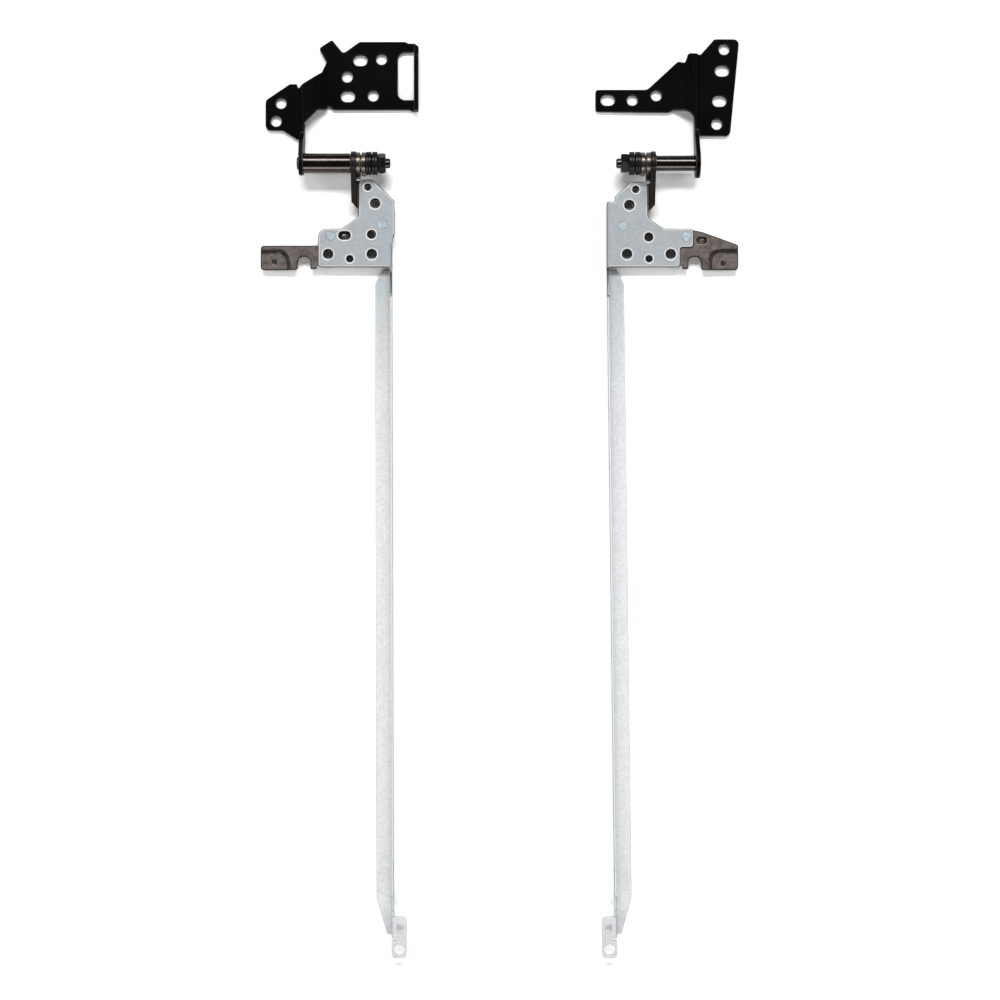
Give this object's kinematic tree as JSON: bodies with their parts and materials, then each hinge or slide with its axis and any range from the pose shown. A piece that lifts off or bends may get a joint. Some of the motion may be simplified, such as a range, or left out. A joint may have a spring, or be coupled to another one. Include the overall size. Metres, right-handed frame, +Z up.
{
  "type": "laptop hinge pair",
  "caption": "Left and right laptop display hinges lying open: black screwed base brackets, sprung friction shafts, and long galvanised rails that carry the screen.",
  "frame": {"origin": "centre of the bounding box of the pair, at the table it lies on", "axes": "+Z up from the table, +Y along the rails from their far ends to the base brackets, +X from the left hinge to the right hinge"},
  "size_m": [0.1436, 0.276, 0.0108],
  "materials": {
    "black_bracket": "satin black coat",
    "dark_shaft": "ground and darkened",
    "friction_washer": "oiled",
    "brown_steel": "brown-grey phosphate",
    "bronze_stop": "bronze-brown, tempered",
    "dark_nut": "black oxide",
    "galvanised_sheet": "galvanised",
    "bright_rivet": "bright",
    "blue_spring": "blue-black spring temper"
  },
  "bodies": {
    "base_side": {"left_base_bracket": "black_bracket", "left_hinge_shaft": "dark_shaft", "left_inner_friction_washer": "friction_washer", "left_outer_friction_washer": "friction_washer", "left_stop_washer": "bronze_stop", "left_lock_nut": "dark_nut", "left_spring_washer_1": "blue_spring", "left_spring_washer_2": "blue_spring", "left_spring_washer_3": "blue_spring", "left_spring_washer_4": "blue_spring", "right_base_bracket": "black_bracket", "right_hinge_shaft": "dark_shaft", "right_inner_friction_washer": "friction_washer", "right_outer_friction_washer": "friction_washer", "right_stop_washer": "bronze_stop", "right_lock_nut": "dark_nut", "right_spring_washer_1": "blue_spring", "right_spring_washer_2": "blue_spring", "right_spring_washer_3": "blue_spring", "right_spring_washer_4": "blue_spring"},
    "left_screen_side": {"left_hinge_arm": "brown_steel", "left_stop_plate": "bronze_stop", "left_rail_bracket": "galvanised_sheet", "left_rivets": "bright_rivet"},
    "right_screen_side": {"right_hinge_arm": "brown_steel", "right_stop_plate": "bronze_stop", "right_rail_bracket": "galvanised_sheet", "right_rivets": "bright_rivet"}
  },
  "joints": [
    {"name": "left_hinge", "type": "hinge", "parent": "base_side", "child": "left_screen_side", "pos_m": [-0.04297, 0.09991, 0.0064], "axis": [-1, 0, 0], "range_deg": [0, 180]},
    {"name": "right_hinge", "type": "hinge", "parent": "base_side", "child": "right_screen_side", "pos_m": [0.04493, 0.09991, 0.0064], "axis": [-1, 0, 0], "range_deg": [0, 180]}
  ]
}
